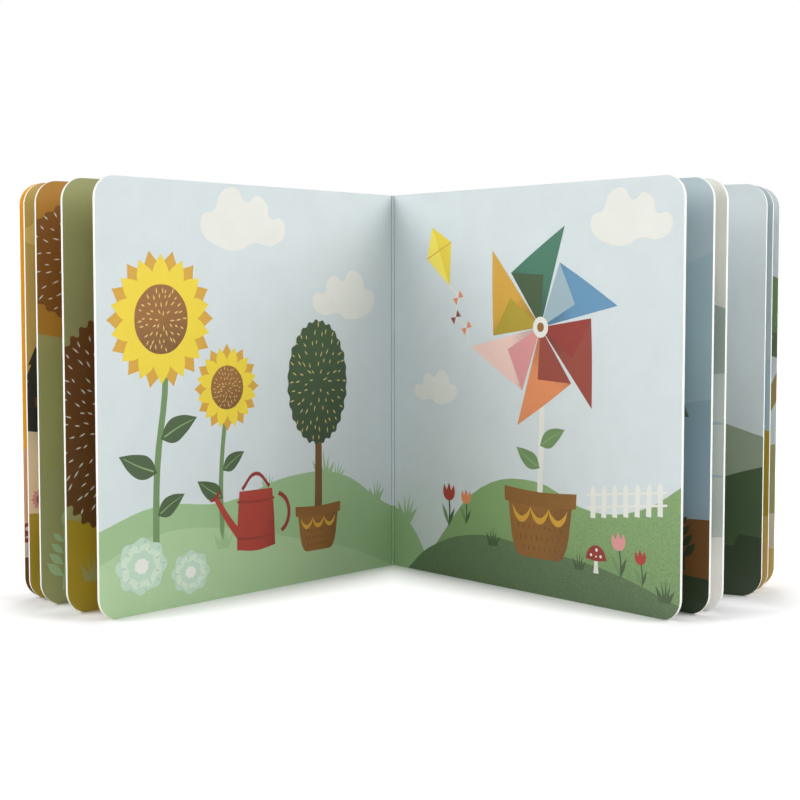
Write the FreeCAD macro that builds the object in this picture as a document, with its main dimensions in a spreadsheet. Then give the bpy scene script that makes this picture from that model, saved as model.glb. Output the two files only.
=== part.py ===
import FreeCAD, Part
import math
import os
import Sketcher

# A square board book that stands open with its boards fanned.
# The rib of the centre fold stands on the origin, Z is up, and both halves open towards -Y.
# Each board is two folded card sheets glued back to back, so a board turns about a fold
# that its own face shares with the back of the board before it.

document = FreeCAD.newDocument("board_book")

# Driving lengths, in millimetres
lengths = {
    "page_width": 180.0,
    "page_height": 180.0,
    "corner_radius": 9.5,
    "board_thickness": 1.3,
    "gutter_width": 1.5,
    "gutter_depth": 0.45,
    "gutter_rib_radius": 0.5,
    "hinge_clearance": 0.15,
    "spine_thickness": 0.6,
    "spine_bow": 4.2,
    "spine_clearance": 0.15,
}

# How far each half's first board turns from the X axis towards the reader,
# and how far each board after it opens from the one before, in degrees
angles = {
    "left_lean_angle": 49.4,
    "left_board_2_angle": 6.7,
    "left_board_3_angle": 7.1,
    "left_board_4_angle": 3.8,
    "left_board_5_angle": 1.7,
    "right_lean_angle": 50.1,
    "right_board_2_angle": 5.7,
    "right_board_3_angle": 2.8,
    "right_board_4_angle": 12.8,
    "right_board_5_angle": 3.0,
    "right_board_6_angle": 4.3,
}

sheet = document.addObject("Spreadsheet::Sheet", "sizes")
for row, (alias, value) in enumerate({**lengths, **angles}.items(), start=1):
    sheet.set(f"A{row}", alias)
    sheet.set(f"B{row}", str(value))
    sheet.setAlias(f"B{row}", alias)
document.recompute()


def origin_plane(body, role):
    """The plane of the body's own origin that has this role."""
    return next(item for item in body.Origin.OriginFeatures if item.Role == role)


def add_sketch(body, name, role):
    """An empty sketch on one of the body's origin planes."""
    sketch = body.newObject("Sketcher::SketchObject", name)
    sketch.AttachmentSupport = [(origin_plane(body, role), "")]
    sketch.MapMode = "FlatFace"
    return sketch


def dimension(sketch, name, expression, *constraint):
    """A named dimension that follows an expression of the driving sizes."""
    index = sketch.addConstraint(Sketcher.Constraint(*constraint))
    sketch.renameConstraint(index, name)
    sketch.setExpression(f"Constraints.{name}", expression)


def add_line(sketch, start, end):
    """A straight edge between two sketch points."""
    return sketch.addGeometry(Part.LineSegment(FreeCAD.Vector(*start, 0), FreeCAD.Vector(*end, 0)))


def add_quarter(sketch, centre, radius, start_angle):
    """A quarter of a circle, counter-clockwise from its start angle in degrees."""
    circle = Part.Circle(FreeCAD.Vector(*centre, 0), FreeCAD.Vector(0, 0, 1), radius)
    start = math.radians(start_angle)
    return sketch.addGeometry(Part.ArcOfCircle(circle, start, start + math.pi / 2))


def draw_board_outline(sketch):
    """A page with square corners at the fold and round corners at the fore edge."""
    width = lengths["page_width"]
    height = lengths["page_height"]
    radius = lengths["corner_radius"]
    low_centre = (width - radius, radius)
    high_centre = (width - radius, height - radius)
    foot = add_line(sketch, (0, 0), (width - radius, 0))
    low_corner = add_quarter(sketch, low_centre, radius, -90)
    fore_edge = add_line(sketch, (width, radius), (width, height - radius))
    high_corner = add_quarter(sketch, high_centre, radius, 0)
    head = add_line(sketch, (width - radius, height), (0, height))
    fold = add_line(sketch, (0, height), (0, 0))

    sketch.addConstraint([
        Sketcher.Constraint("Tangent", foot, 2, low_corner, 1),
        Sketcher.Constraint("Tangent", low_corner, 2, fore_edge, 1),
        Sketcher.Constraint("Tangent", fore_edge, 2, high_corner, 1),
        Sketcher.Constraint("Tangent", high_corner, 2, head, 1),
        Sketcher.Constraint("Coincident", head, 2, fold, 1),
        Sketcher.Constraint("Coincident", fold, 2, foot, 1),
        Sketcher.Constraint("Coincident", foot, 1, -1, 1),
        Sketcher.Constraint("Horizontal", foot),
        Sketcher.Constraint("Horizontal", head),
        Sketcher.Constraint("Vertical", fold),
        Sketcher.Constraint("Equal", low_corner, high_corner),
    ])
    dimension(sketch, "radius", "sizes.corner_radius", "Radius", low_corner, radius)
    dimension(sketch, "width", "sizes.page_width", "DistanceX", -1, 1, fore_edge, 1, width)
    dimension(sketch, "height", "sizes.page_height", "DistanceY", -1, 1, head, 2, height)


def lean_of(half, number):
    """How far board number turns from the X axis towards the reader: 1 lies next to the gutter."""
    openings = [f"sizes.{half}_board_{i}_angle" for i in range(2, number + 1)]
    return " - ".join([f"sizes.{half}_lean_angle"] + openings)


def place_board(body, half, number, before):
    """Stands a board's inner face on the fold that it shares with the board before it."""
    side = -1 if half == "left" else 1
    lean = lean_of(half, number)
    turn = f"180 + {lean}" if half == "left" else f"-({lean})"
    if before is None:
        across = f"{side} * sizes.gutter_width / 2"
        back = "-sizes.gutter_depth"
    else:
        lean_before = lean_of(half, number - 1)
        at = f"{before.Name}.Placement.Base"
        across = f"{at}.x / 1 mm + {side} * sizes.board_thickness * sin({lean_before})"
        back = f"{at}.y / 1 mm + sizes.board_thickness * cos({lean_before})"
    base = f"vector({across}; {back}; 0)"
    body.setExpression("Placement", f"placement({base}; rotation(vector(0; 0; 1); {turn}))")


def add_board(half, number, before, name):
    """One stiff board: its outline padded away from the inner face, towards the spine block."""
    body = document.addObject("PartDesign::Body", name)
    outline = add_sketch(body, f"{name}_outline", "XZ_Plane")
    draw_board_outline(outline)
    pad = body.newObject("PartDesign::Pad", f"{name}_thickness")
    pad.Profile = outline
    pad.setExpression("Length", "sizes.board_thickness")
    pad.Reversed = half == "right"
    place_board(body, half, number, before)
    document.recompute()
    return body


def cut_hinge_hollow(body):
    """A round hollow along a cover's fold edge, so that it turns clear of the last fold ridge."""
    hollow = add_sketch(body, f"{body.Name}_hollow", "XY_Plane")
    radius = (lengths["board_thickness"] / 2) + lengths["hinge_clearance"]
    circle = Part.Circle(FreeCAD.Vector(0, 0, 0), FreeCAD.Vector(0, 0, 1), radius)
    ring = hollow.addGeometry(circle)
    hollow.addConstraint(Sketcher.Constraint("Coincident", ring, 3, -1, 1))
    reach = "sizes.board_thickness / 2 + sizes.hinge_clearance"
    dimension(hollow, "reach", reach, "Radius", ring, radius)
    volume_before = body.Shape.Volume
    pocket = body.newObject("PartDesign::Pocket", f"{body.Name}_hinge")
    pocket.Profile = hollow
    pocket.Type = "ThroughAll"
    pocket.Reversed = True
    document.recompute()
    if body.Shape.Volume >= volume_before:
        raise RuntimeError(f"{body.Name}: the hinge hollow cut nothing")


def add_ridge(name, board):
    """The round back of the folded sheet, about the fold that a board stands on."""
    ridge = document.addObject("Part::Cylinder", name)
    ridge.setExpression("Radius", "sizes.board_thickness / 2")
    ridge.setExpression("Height", "sizes.page_height")
    ridge.setExpression("Placement.Base.x", f"{board.Name}.Placement.Base.x")
    ridge.setExpression("Placement.Base.y", f"{board.Name}.Placement.Base.y")
    return ridge


def add_half(half, last, cover_name):
    """The boards of one half from the gutter outwards, the last of them a cover, with their ridges."""
    boards = []
    ridges = []
    for number in range(1, last + 1):
        name = cover_name if number == last else f"{half}_board_{number}"
        before = boards[-1] if boards else None
        board = add_board(half, number, before, name)
        if before is not None:
            ridges.append(add_ridge(f"{half}_ridge_{number - 1}", board))
        boards.append(board)
    cover = boards.pop()
    cut_hinge_hollow(cover)
    return boards + ridges, cover


left_pages, front_cover = add_half("left", 5, "front_cover")
right_pages, back_cover = add_half("right", 6, "back_cover")

# The centre fold is scored twice: a rib stands between the two score grooves,
# on a web of card that ties the first board of each half together
gutter_web = document.addObject("Part::Box", "gutter_web")
gutter_web.setExpression("Length", "sizes.gutter_width + sizes.board_thickness")
gutter_web.setExpression("Width", "sizes.board_thickness / 2")
gutter_web.setExpression("Height", "sizes.page_height")
gutter_web.setExpression("Placement.Base.x", "-(sizes.gutter_width + sizes.board_thickness) / 2")

gutter_rib = document.addObject("Part::Cylinder", "gutter_rib")
gutter_rib.setExpression("Radius", "sizes.gutter_rib_radius")
gutter_rib.setExpression("Height", "sizes.page_height")

pages = document.addObject("Part::MultiFuse", "pages")
pages.Shapes = left_pages + [gutter_web, gutter_rib] + right_pages
pages.Refine = True

# The spine card runs from one cover's outer corner to the other's.
# It is as wide as the closed block, so in the open book it bows back off the folds.
spine_chord = document.addObject("Part::Line", "spine_chord")
outer = "(sizes.board_thickness + sizes.spine_clearance)"
lean_front = lean_of("left", 5)
lean_back = lean_of("right", 6)
spine_chord.setExpression("X1", f"front_cover.Placement.Base.x / 1 mm - {outer} * sin({lean_front})")
spine_chord.setExpression("Y1", f"front_cover.Placement.Base.y / 1 mm + {outer} * cos({lean_front})")
spine_chord.setExpression("X2", f"back_cover.Placement.Base.x / 1 mm + {outer} * sin({lean_back})")
spine_chord.setExpression("Y2", f"back_cover.Placement.Base.y / 1 mm + {outer} * cos({lean_back})")
spine_chord.Z1 = 0
spine_chord.Z2 = 0

run = "((spine_chord.X2 - spine_chord.X1) / 1 mm)"
rise = "((spine_chord.Y2 - spine_chord.Y1) / 1 mm)"
chord = f"sqrt({run} ^ 2 + {rise} ^ 2)"
spine_radius = f"({chord} ^ 2 / (8 * sizes.spine_bow) + sizes.spine_bow / 2)"
half_turn = f"(2 * atan(2 * sizes.spine_bow / {chord}))"
sink = f"((sizes.spine_bow - {spine_radius}) / {chord})"
centre_x = f"((spine_chord.X1 + spine_chord.X2) / 2 mm - {rise} * {sink})"
centre_y = f"((spine_chord.Y1 + spine_chord.Y2) / 2 mm + {run} * {sink})"
start_turn = f"(90 deg + atan({rise} / {run}) - {half_turn})"

spine_outside = document.addObject("Part::Cylinder", "spine_outside")
spine_outside.setExpression("Radius", spine_radius)
spine_outside.setExpression("Angle", f"2 * {half_turn}")

spine_hollow = document.addObject("Part::Cylinder", "spine_hollow")
spine_hollow.setExpression("Radius", f"{spine_radius} - sizes.spine_thickness")

for cylinder, turn in ((spine_outside, start_turn), (spine_hollow, "0 deg")):
    centre = f"vector({centre_x}; {centre_y}; 0)"
    cylinder.setExpression("Height", "sizes.page_height")
    cylinder.setExpression("Placement", f"placement({centre}; rotation(vector(0; 0; 1); {turn}))")

spine = document.addObject("Part::Cut", "spine")
spine.Base = spine_outside
spine.Tool = spine_hollow

parts = {"pages": pages, "front_cover": front_cover, "back_cover": back_cover, "spine": spine}
for label, part in parts.items():
    part.Label = label
document.recompute()

for item in document.Objects:
    if "Invalid" in item.State or "Error" in item.State:
        raise RuntimeError(f"{item.Name}: {item.State}")

os.makedirs("parts", exist_ok=True)
for part in parts.values():
    shape = part.Shape
    if shape.isNull() or not shape.isValid() or len(shape.Solids) != 1:
        raise RuntimeError(f"{part.Label}: not one valid solid")
for part in parts.values():
    part.Shape.exportStep(f"parts/{part.Label}.step")
    box = part.Shape.BoundBox
    print(f"{part.Label}: {part.Shape.Volume:.1f} mm3, x {box.XMin:.2f} {box.XMax:.2f}, "
          f"y {box.YMin:.2f} {box.YMax:.2f}, z {box.ZMin:.2f} {box.ZMax:.2f}")
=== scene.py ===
import random
from math import atan2, cos, degrees, pi, radians, sin, sqrt

import bpy
from mathutils import Matrix, Vector


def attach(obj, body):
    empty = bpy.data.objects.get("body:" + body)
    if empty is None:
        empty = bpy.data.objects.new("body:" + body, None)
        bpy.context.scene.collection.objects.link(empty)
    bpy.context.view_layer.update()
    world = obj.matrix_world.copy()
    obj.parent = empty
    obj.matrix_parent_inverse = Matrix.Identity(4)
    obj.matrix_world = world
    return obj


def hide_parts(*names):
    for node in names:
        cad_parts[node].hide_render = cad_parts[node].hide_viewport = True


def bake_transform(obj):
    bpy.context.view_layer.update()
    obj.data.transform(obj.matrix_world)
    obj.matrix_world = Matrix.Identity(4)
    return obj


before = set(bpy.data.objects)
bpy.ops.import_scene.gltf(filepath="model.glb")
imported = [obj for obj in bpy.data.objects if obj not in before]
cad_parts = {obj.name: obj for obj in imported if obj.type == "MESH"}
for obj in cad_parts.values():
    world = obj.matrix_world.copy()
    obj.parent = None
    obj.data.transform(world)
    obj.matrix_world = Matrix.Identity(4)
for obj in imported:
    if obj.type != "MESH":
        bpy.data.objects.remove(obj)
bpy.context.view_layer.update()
bpy.ops.object.select_all(action="DESELECT")
print("board book: frame loaded")


# Small tools: objects, edit mode, colours

def addToScene(name, data):
    thing = bpy.data.objects.new(name, data)
    bpy.context.scene.collection.objects.link(thing)
    return thing


def pick(*things):
    bpy.ops.object.select_all(action="DESELECT")
    for thing in things:
        thing.select_set(True)
    bpy.context.view_layer.objects.active = things[-1]


def copyOf(thing, name):
    twin = addToScene(name, thing.data.copy())
    twin.data.name = name
    return twin


def cutAway(thing, cuts):
    pick(thing)
    bpy.ops.object.mode_set(mode="EDIT")
    for point, away in cuts:
        bpy.ops.mesh.select_all(action="SELECT")
        bpy.ops.mesh.bisect(plane_co=point, plane_no=away, clear_outer=True, threshold=0.00001)
    bpy.ops.mesh.select_all(action="SELECT")
    bpy.ops.mesh.dissolve_degenerate(threshold=0.0001)
    bpy.ops.mesh.delete_loose()
    bpy.ops.object.mode_set(mode="OBJECT")


def linear(colour):
    steps = [c / 255 for c in colour]
    return [s / 12.92 if s <= 0.04045 else ((s + 0.055) / 1.055) ** 2.4 for s in steps] + [1.0]


inks = {   # sRGB, 0 to 255
    "sky": (214, 223, 225), "cream": (232, 233, 225), "mint": (190, 216, 196),
    "paleMint": (208, 226, 204), "lightGreen": (172, 201, 155), "softGreen": (157, 190, 141),
    "midGreen": (136, 170, 112), "grassGreen": (104, 130, 90), "leafGreen": (112, 144, 94),
    "darkGreen": (72, 93, 60), "deepGreen": (54, 70, 46), "hedge": (60, 84, 50),
    "oliveGrey": (98, 114, 84), "sage": (150, 163, 140), "olive": (163, 165, 112),
    "dullOlive": (164, 166, 108), "darkOlive": (48, 51, 40), "yellow": (238, 212, 58),
    "lemon": (248, 230, 90), "mustard": (214, 164, 56), "sunYellow": (255, 200, 62),
    "coverMustard": (218, 160, 48), "tanMustard": (204, 176, 100), "yellowOlive": (176, 154, 42),
    "straw": (226, 200, 120), "brown": (150, 100, 44), "rust": (140, 94, 40),
    "darkBrown": (116, 76, 36), "ochre": (186, 136, 50), "barkBrown": (124, 86, 44),
    "trunk": (162, 140, 82), "tan": (212, 202, 178), "beige": (236, 216, 178),
    "peach": (234, 190, 152), "pink": (242, 206, 196), "rose": (222, 150, 150),
    "orange": (228, 142, 92), "red": (172, 60, 48), "brickRed": (148, 50, 42),
    "redBrown": (150, 66, 54), "blue": (96, 146, 182), "greyBlue": (188, 203, 207),
    "dimBlue": (172, 196, 202), "duskBlue": (156, 180, 190), "paleGrey": (208, 216, 210),
    "greenGrey": (172, 186, 178), "white": (250, 249, 244), "teal": (60, 116, 92),
}


# Materials

class Wire:
    def __init__(self, finish, socket):
        self.finish = finish
        self.socket = socket

    def __add__(self, other):
        return self.finish.sum("ADD", self, other)

    def __radd__(self, other):
        return self.finish.sum("ADD", other, self)

    def __sub__(self, other):
        return self.finish.sum("SUBTRACT", self, other)

    def __rsub__(self, other):
        return self.finish.sum("SUBTRACT", other, self)

    def __mul__(self, other):
        return self.finish.sum("MULTIPLY", self, other)

    def __rmul__(self, other):
        return self.finish.sum("MULTIPLY", other, self)


class Finish:
    def __init__(self, tree):
        self.tree = tree
        self.nodes = tree.nodes

    def add(self, kind, settings=None, sockets=None, output=0):
        node = self.nodes.new("ShaderNode" + kind)
        for key, value in (settings or {}).items():
            setattr(node, key, value)
        for key, value in (sockets or {}).items():
            self.join(value, node.inputs[key])
        return Wire(self, node.outputs[output])

    def join(self, value, socket):
        if isinstance(value, Wire):
            self.tree.links.new(value.socket, socket)
        else:
            socket.default_value = value

    def sum(self, operation, first, second):
        return self.add("Math", {"operation": operation}, {0: first, 1: second})

    def clamp(self, value):
        return self.add("Clamp", None, {0: value})

    def size(self, value):
        return self.add("Math", {"operation": "ABSOLUTE"}, {0: value})

    def dot(self, where, way):
        return self.add("VectorMath", {"operation": "DOT_PRODUCT"}, {0: where, 1: way}, "Value")

    def bump(self, height, strength, depth):
        sockets = {"Strength": strength, "Distance": depth, "Height": height}
        return self.add("Bump", None, sockets, "Normal")

    def mixed(self, amount, first, second, blend="MIX"):
        settings = {"data_type": "RGBA", "blend_type": blend}
        return self.add("Mix", settings, {0: amount, 6: first, 7: second}, 2)

    def noise(self, where, scale, detail=2.0, rough=0.5):
        sockets = {"Vector": where, "Scale": scale, "Detail": detail, "Roughness": rough}
        return self.add("TexNoise", None, sockets)


def newMaterial(name):
    material = bpy.data.materials.new(name)
    material.use_nodes = True
    return material, Finish(material.node_tree), material.node_tree.nodes["Principled BSDF"].inputs


printFilm = {   # sizes in mm
    "roughness": 0.5, "coat": 0.12, "coatRoughness": 0.32,   # satin film on the printed face
    "grain": 0.055, "grainSize": 0.45, "grainRoughness": 0.12,
    "mottle": 0.05, "mottleSize": 14.0, "mottleRoughness": 0.1,
    "sprayDepth": 0.34, "spraySize": 0.55,                   # stippled shading of the drawn shapes
    "sprayFade": 1.5, "sprayContrast": 2.6, "sprayStart": 3,
    "filmBump": 0.05, "filmSize": 0.9, "filmDepth": 0.4,
}


def printedCard():
    material, finish, shader = newMaterial("printedCard")
    where = finish.add("TexCoord", None, None, "Object")
    ink = finish.add("Attribute", {"attribute_name": "ink"}, None, "Color")
    shade = finish.add("Attribute", {"attribute_name": "shade"}, None, "Fac")
    grain = finish.noise(where, 1000 / printFilm["grainSize"], 3.0, 0.6)
    spray = finish.noise(where, 1000 / printFilm["spraySize"], 1.0, 0.5)
    mottle = finish.noise(where, 1000 / printFilm["mottleSize"], 3.0, 0.6)
    dots = finish.clamp((finish.clamp(shade) - 0.5) * printFilm["sprayFade"]
                        + (spray - 0.5) * printFilm["sprayContrast"] + 0.5)
    sprayed = dots * finish.clamp(shade * printFilm["sprayStart"]) * printFilm["sprayDepth"]
    tone = (grain - 0.5) * printFilm["grain"] * 2 + (mottle - 0.5) * printFilm["mottle"] * 2 + 1
    tone = tone * (1 - sprayed)
    grey = finish.add("CombineColor", None, {0: tone, 1: tone, 2: tone})
    colour = finish.mixed(1.0, ink, grey, "MULTIPLY")
    finish.join(colour, shader["Base Color"])
    rough = (grain - 0.5) * printFilm["grainRoughness"] + (mottle - 0.5) * printFilm["mottleRoughness"]
    finish.join(rough + printFilm["roughness"], shader["Roughness"])
    shader["Coat Weight"].default_value = printFilm["coat"]
    shader["Coat Roughness"].default_value = printFilm["coatRoughness"]
    film = finish.noise(where, 1000 / printFilm["filmSize"], 2.0, 0.5)
    finish.join(finish.bump(film, printFilm["filmBump"], printFilm["filmDepth"] / 1000),
                shader["Normal"])
    return material


edge = {   # sizes in mm
    "colour": (253, 253, 250), "fibre": (238, 236, 228), "glue": (214, 210, 200),
    "fibreSize": 0.35, "fibreStretch": 0.35, "cloudSize": 50 / 3,
    "wornFrom": 0.45, "wornContrast": 2.4, "wornCloud": 0.6,   # where the cut fibres show
    "glueWidth": 0.09, "glueDepth": 0.45,
    "roughness": 0.78, "fibreRoughness": 0.2, "bump": 0.25, "bumpDepth": 0.2,
}

book = {   # mm and degrees, as in the frame
    "pageWidth": 180.0, "pageHeight": 180.0, "cornerRadius": 9.5, "boardThickness": 1.3,
    "gutterHalf": 0.75, "gutterDepth": 0.45, "ribRadius": 0.5, "ridgeRadius": 0.65, "hollowRadius": 0.8,
    "spineThickness": 0.6, "spineBow": 4.2, "spineClearance": 0.15, "spineSteps": 48,
    "leans": {"left": (49.4, 42.7, 35.6, 31.8, 30.1), "right": (50.1, 44.4, 41.6, 28.8, 25.8, 21.5)},
    "lift": 0.012, "inset": 0.02,        # how the print lies on a board
    "pressed": 30.0,                     # from here an endpaper thins out towards its fold
    "layerStep": 0.009, "shapeStep": 0.0008, "shapeSteps": 8, "curveSteps": 5, "cornerCuts": 9,
    "ribSteps": 12, "hingeWrap": 112, "hingeSteps": 10,     # prints round the folds, degrees and counts
    "groove": (0.5, 1.4), "grooveShade": 0.55,              # painted shade: darker ink on the groove faces beside the centre rib, where they lie in shadow
}
smoothAngle = radians(40)


def boardsOf(side):
    sign = -1 if side == "left" else 1
    fold = Vector((sign * book["gutterHalf"], -book["gutterDepth"], 0))
    boards = []
    for lean in book["leans"][side]:
        turn = radians(lean)
        along = Vector((sign * cos(turn), -sin(turn), 0))
        across = Vector((sign * sin(turn), cos(turn), 0))
        boards.append((fold.copy(), along, across))
        fold += across * book["boardThickness"]
    return boards


boards = {"left": boardsOf("left"), "right": boardsOf("right")}
covers = {("left", len(boards["left"])): "front_board", ("right", len(boards["right"])): "back_board"}


def cardEdge():
    material, finish, shader = newMaterial("cardEdge")
    where = finish.add("TexCoord", None, None, "Object")
    stretched = finish.add("Mapping", None, {"Vector": where, "Scale": (1, 1, edge["fibreStretch"])})
    fibre = finish.noise(stretched, 1000 / edge["fibreSize"], 4.0, 0.65)
    cloudy = finish.noise(where, 1000 / edge["cloudSize"], 2.0, 0.5)
    nearest = None
    for fold, along, across in boards["left"] + boards["right"]:   # the glue line midway in each board
        middle = (fold + across * book["boardThickness"] / 2) / 1000
        away = finish.size(finish.dot(where, across) - middle.dot(across))
        nearest = away if nearest is None else finish.sum("MINIMUM", nearest, away)
    glue = finish.clamp(1 - nearest * (1000 / edge["glueWidth"])) * edge["glueDepth"]
    cloud = (cloudy - 0.5) * edge["wornCloud"]
    worn = finish.clamp((fibre - edge["wornFrom"]) * edge["wornContrast"] + cloud)
    colour = finish.mixed(worn, linear(edge["colour"]), linear(edge["fibre"]))
    finish.join(finish.mixed(glue, colour, linear(edge["glue"])), shader["Base Color"])
    finish.join(edge["roughness"] + (fibre - 0.5) * edge["fibreRoughness"], shader["Roughness"])
    finish.join(finish.bump(fibre, edge["bump"], edge["bumpDepth"] / 1000), shader["Normal"])
    return material


printFinish = printedCard()
edgeFinish = cardEdge()
for node in ("pages", "front_cover", "back_cover"):
    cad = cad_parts[node]
    for thing in (cad if isinstance(cad, (list, tuple)) else [cad]):
        for slot in thing.material_slots:
            slot.material = edgeFinish
print("board book: card and print finishes made")


# Drawing: every shape is a flat closed outline, in millimetres on an opening whose fold is at x = 0,
# and shade runs from its first point to its second, getting darker

class Picture:
    def __init__(self, name, seed):
        self.name = name
        self.shapes = []
        self.chance = random.Random(seed)

    def shape(self, outlines, ink, layer, shade=None):   # a third number in a point makes it sharp
        curve = bpy.data.curves.new(self.name, "CURVE")
        curve.dimensions = "2D"
        curve.fill_mode = "BOTH"
        curve.resolution_u = book["curveSteps"]
        for points in outlines:
            spline = curve.splines.new("BEZIER")
            spline.bezier_points.add(len(points) - 1)
            spline.use_cyclic_u = True
            for knot, point in zip(spline.bezier_points, points):
                knot.co = (point[0], point[1], 0)
                handle = "VECTOR" if len(point) > 2 else "AUTO"
                knot.handle_left_type = knot.handle_right_type = handle
        thing = addToScene(self.name, curve)
        below = sum(1 for other in self.shapes if other[3] == layer) % book["shapeSteps"]
        thing.location.z = layer * book["layerStep"] + below * book["shapeStep"]
        self.shapes.append((thing, ink, shade, layer))

    def finish(self):
        things = [entry[0] for entry in self.shapes]
        pick(*things)
        bpy.ops.object.convert(target="MESH")
        bpy.ops.object.transform_apply(location=True)
        for thing, ink, shade, layer in self.shapes:
            mesh = thing.data
            colours = mesh.color_attributes.new("ink", "FLOAT_COLOR", "POINT")
            colours.data.foreach_set("color", linear(inks[ink]) * len(mesh.vertices))
            shades = mesh.attributes.new("shade", "FLOAT", "POINT")
            if shade:
                start, end = Vector(shade[:2]), Vector(shade[2:])
                way = (end - start) / (end - start).length_squared
                shades.data.foreach_set("value", [(v.co.xy - start).dot(way) for v in mesh.vertices])
            mesh.materials.append(printFinish)
        pick(*things)
        bpy.ops.object.join()
        sheet = bpy.context.view_layer.objects.active
        sheet.name = self.name
        return sheet


def placed(points, x, y, size=1.0, turn=0.0, wide=1.0):
    c, s = cos(radians(turn)), sin(radians(turn))
    moved = []
    for point in points:
        px, py = point[0] * size * wide, point[1] * size
        moved.append((x + px * c - py * s, y + px * s + py * c) + tuple(point[2:]))
    return moved


def polar(radius, angle):
    return (radius * cos(radians(angle)), radius * sin(radians(angle)))


def ring(count=8, radius=1.0):
    return [polar(radius, 360 * i / count) for i in range(count)]


def disc(page, x, y, radius, ink, layer, shade=None):
    page.shape([placed(ring(), x, y, radius)], ink, layer, shade)


def ribbon(page, points, width, ink, layer, taper=1.0):
    left, right = [], []
    for i, (x, y) in enumerate(points):
        x0, y0 = points[max(i - 1, 0)]
        x1, y1 = points[min(i + 1, len(points) - 1)]
        turn = atan2(y1 - y0, x1 - x0) + pi / 2
        half = width / 2 * (1 + (taper - 1) * i / (len(points) - 1))
        ends = (1,) if i in (0, len(points) - 1) else ()
        left.append((x + half * cos(turn), y + half * sin(turn)) + ends)
        right.append((x - half * cos(turn), y - half * sin(turn)) + ends)
    page.shape([left + right[::-1]], ink, layer)


def strokes(page, spots, length, width, ink, layer):
    leaf = [(-0.5, 0, 1), (-0.1, 0.5), (0.5, 0, 1), (-0.1, -0.5)]
    outlines = []
    for x, y, turn in spots:
        long = length * page.chance.uniform(0.7, 1.2)
        stroke = [(px * long, py * width) + tuple(e) for px, py, *e in leaf]
        outlines.append(placed(stroke, x, y, 1, turn))
    page.shape(outlines, ink, layer)


def scattered(page, x, y, rx, ry, gap, radial=False, inner=0.0):
    upright, wobble = 90, 18   # degrees
    spots = []
    rows = int(ry / gap) + 1
    for row in range(-rows, rows + 1):
        for column in range(-int(rx / gap) - 1, int(rx / gap) + 2):
            px = (column + 0.5 * (row % 2) + page.chance.uniform(-0.28, 0.28)) * gap
            py = (row + page.chance.uniform(-0.28, 0.28)) * gap
            reach = sqrt((px / rx) ** 2 + (py / ry) ** 2)
            if inner < reach < 0.94:
                way = degrees(atan2(py, px)) if radial else upright
                spots.append((x + px, y + py, way + page.chance.uniform(-wobble, wobble)))
    return spots


def hill(page, crest, ink, layer, shade=None):
    first, last = crest[0], crest[-1]
    line = [(first[0], first[1], 1)] + list(crest[1:-1]) + [(last[0], last[1], 1)]
    page.shape([[(first[0], -3, 1)] + line + [(last[0], -3, 1)]], ink, layer, shade)


def ground(page, ink):
    side, top, bleed = book["pageWidth"] + 2, book["pageHeight"] + 2, -2
    page.shape([[(-side, bleed, 1), (side, bleed, 1), (side, top, 1), (-side, top, 1)]], ink, 0)


def cloud(page, x, y, wide, ink="cream", layer=1, tall=0.8, flip=1):
    form = [(-1, -0.05), (-0.98, 0.3), (-0.72, 0.42), (-0.55, 0.8), (-0.2, 0.92), (0.05, 0.62),
            (0.3, 0.78), (0.55, 0.6), (0.62, 0.3), (0.92, 0.28), (1.0, -0.02), (0.7, -0.3),
            (0.2, -0.26), (-0.1, -0.42), (-0.6, -0.36)]
    points = [(px * wide / 2 * flip, py * wide / 2 * tall) for px, py in form]
    page.shape([placed(points, x, y)], ink, layer)


def tuft(page, x, y, tall, ink, layer, lean=0.0):
    blades = ((-0.55, 0.62), (-0.24, 0.9), (0.06, 1.0), (0.32, 0.78), (0.6, 0.5))
    points = [(-0.34, -0.12, 1)]
    for i, (bx, by) in enumerate(blades):
        points.append((bx + lean * by, by, 1))
        root = -0.26 + 0.13 * (i + 1)
        points.append((root + lean * 0.25, 0.26 - abs(i - 2) * 0.05, 1))
    points[-1] = (0.34, -0.12, 1)
    page.shape([placed(points, x, y, tall)], ink, layer)


def leaf(page, x, y, long, turn, ink, layer, wide=0.42, vein=None):
    form = [(0, 0, 1), (0.3, wide / 2), (0.62, wide * 0.46), (1, 0, 1), (0.62, -wide * 0.36),
            (0.28, -wide * 0.46)]
    page.shape([placed(form, x, y, long, turn)], ink, layer)
    if vein:
        tip = placed([(0.1, 0), (0.5, 0.02), (0.88, 0)], x, y, long, turn)
        ribbon(page, tip, long * 0.035, vein, layer + 1, 0.4)


def sunflower(page, x, y, size, layer, petals=14, petal="yellow", under="mustard", eye="brown"):
    form = [(0.42, -0.08, 1), (0.66, -0.17), (1, 0, 1), (0.7, 0.17), (0.42, 0.08, 1)]
    step = 360 / petals
    for j, (ink, reach) in enumerate(((under, 1.0), (petal, 0.94))):
        for odd in (0, 1):
            turns = [step * (i + 0.5 * j) for i in range(odd, petals, 2)]
            page.shape([placed(form, x, y, size * reach, turn) for turn in turns], ink, layer + j)
    disc(page, x, y, size * 0.5, eye, layer + 2,
         shade=(x, y + size * 0.2, x + size * 0.2, y - size * 0.5))
    spots = scattered(page, x, y, size * 0.49, size * 0.49, size * 0.105, True, inner=0.18)
    strokes(page, spots, size * 0.085, size * 0.022, "straw", layer + 3)


def flowerStem(page, points, width, layer, leaves=()):
    ribbon(page, points, width, "leafGreen", layer, 0.8)
    for x, y, long, turn in leaves:
        leaf(page, x, y, long, turn, "darkGreen", layer + 1, 0.46, "midGreen")


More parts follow.
